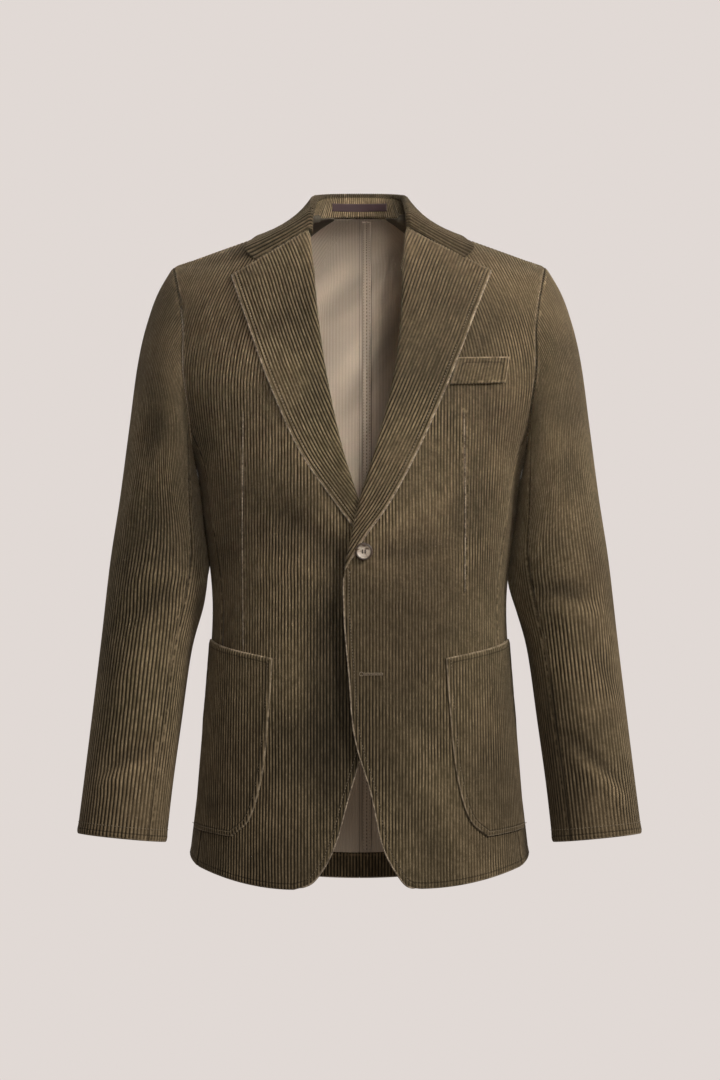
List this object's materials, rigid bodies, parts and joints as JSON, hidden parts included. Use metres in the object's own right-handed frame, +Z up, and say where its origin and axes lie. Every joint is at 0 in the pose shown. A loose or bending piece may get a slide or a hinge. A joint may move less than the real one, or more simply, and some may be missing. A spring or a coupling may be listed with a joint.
{
  "type": "corduroy jacket",
  "caption": "Hollow, worn single-breasted jacket in wide-wale corduroy, with notched lapels, patch pockets, a breast welt and horn buttons.",
  "frame": {"origin": "between the shoulders, level with the sides of the neck, where the wearer carries the jacket", "axes": "+Z up, the front faces -Y, the wearer's left is +X"},
  "size_m": [0.6242, 0.2656, 0.7728],
  "materials": {
    "corduroy": "wide-wale corduroy, napped",
    "corduroy_inside": "flat wrong side of the cloth",
    "horn": "polished horn",
    "label": "blank woven satin"
  },
  "bodies": {
    "root": {"front_left": "corduroy", "front_right": "corduroy", "lapel_left": "corduroy", "lapel_right": "corduroy", "back_left": "corduroy", "back_right": "corduroy", "side_left": "corduroy", "side_right": "corduroy", "upper_sleeve_left": "corduroy", "upper_sleeve_right": "corduroy", "under_sleeve_left": "corduroy", "under_sleeve_right": "corduroy", "patch_pocket_left": "corduroy", "patch_pocket_right": "corduroy", "neck_facing_left": "corduroy", "neck_facing_right": "corduroy", "collar_fall": "corduroy", "collar_stand": "corduroy", "breast_welt": "corduroy", "back_hem_facing": "corduroy", "centre_back_binding": "corduroy_inside", "button_upper": "horn", "button_lower": "horn", "label": "label"}
  },
  "joints": []
}
